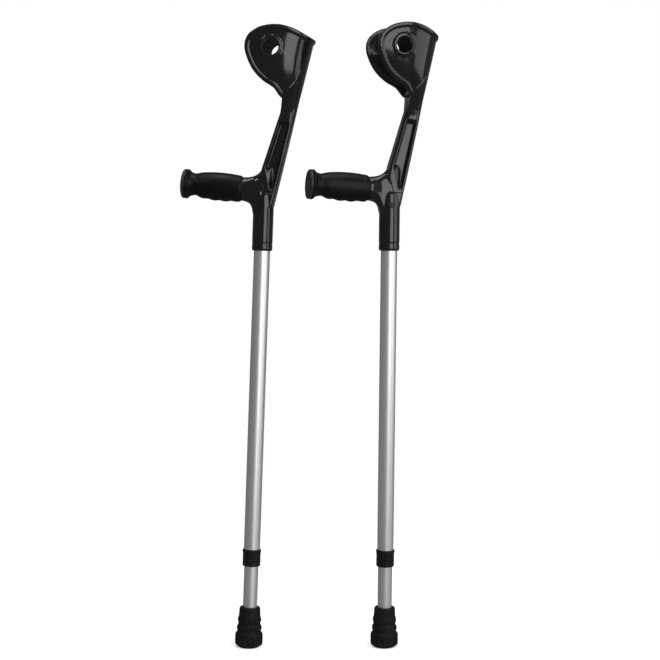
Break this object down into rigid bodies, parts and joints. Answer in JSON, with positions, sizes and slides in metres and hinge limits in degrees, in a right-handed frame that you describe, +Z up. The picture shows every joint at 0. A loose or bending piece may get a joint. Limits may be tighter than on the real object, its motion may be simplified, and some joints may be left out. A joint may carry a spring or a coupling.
{
  "type": "forearm crutches",
  "caption": "Height-adjustable forearm crutches with moulded open cuff and handle, telescopic aluminium tubes and ribbed rubber tips.",
  "frame": {"origin": "on the floor, at the middle of the pair's box seen from above", "axes": "+Z up, near enough along the tubes; -X the way the handles point; +Y the far side, where the snap buttons are"},
  "size_m": [0.3926, 0.1328, 0.9523],
  "materials": {
    "black_moulding": "glossy injection-moulded black",
    "grip_rubber": "satin black soft grip",
    "cap_plastic": "matt dark grey",
    "anodised_tube": "satin natural anodised",
    "collar_plastic": "satin black",
    "fitting_steel": "bright zinc plated",
    "tip_rubber": "matt black ribbed rubber"
  },
  "bodies": {
    "left_lower": {"left_inner_tube": "anodised_tube", "left_guide_plug": "collar_plastic", "left_leaf_spring": "fitting_steel", "left_rubber_tip": "tip_rubber", "left_tip_washer": "fitting_steel"},
    "left_upper": {"left_outer_tube": "anodised_tube", "left_forearm_support": "black_moulding", "left_handle_body": "black_moulding", "left_grip": "grip_rubber", "left_grip_cap": "cap_plastic", "left_socket_rivet": "collar_plastic", "left_collar": "collar_plastic"},
    "left_button": {"left_snap_button": "fitting_steel"},
    "right_lower": {"right_inner_tube": "anodised_tube", "right_guide_plug": "collar_plastic", "right_leaf_spring": "fitting_steel", "right_rubber_tip": "tip_rubber", "right_tip_washer": "fitting_steel"},
    "right_upper": {"right_outer_tube": "anodised_tube", "right_forearm_support": "black_moulding", "right_handle_body": "black_moulding", "right_grip": "grip_rubber", "right_grip_cap": "cap_plastic", "right_socket_rivet": "collar_plastic", "right_collar": "collar_plastic"},
    "right_button": {"right_snap_button": "fitting_steel"}
  },
  "joints": [
    {"name": "right_crutch_lift", "type": "slide", "parent": "left_lower", "child": "right_lower", "axis": [0, 0, 1], "range_m": [0, 0.4]},
    {"name": "left_height", "type": "slide", "parent": "left_lower", "child": "left_upper", "axis": [0.0375, 0.0192, 0.9991], "range_m": [0, 0.24]},
    {"name": "left_button_press", "type": "slide", "parent": "left_lower", "child": "left_button", "axis": [-0.1384, -0.9901, 0.0242], "range_m": [0, 0.005], "stiffness_N_per_m": 1500, "deforming": ["left_leaf_spring"]},
    {"name": "right_height", "type": "slide", "parent": "right_lower", "child": "right_upper", "axis": [0.0108, -0.0192, 0.9998], "range_m": [0, 0.24]},
    {"name": "right_button_press", "type": "slide", "parent": "right_lower", "child": "right_button", "axis": [0.2077, -0.978, -0.021], "range_m": [0, 0.005], "stiffness_N_per_m": 1500, "deforming": ["right_leaf_spring"]}
  ]
}
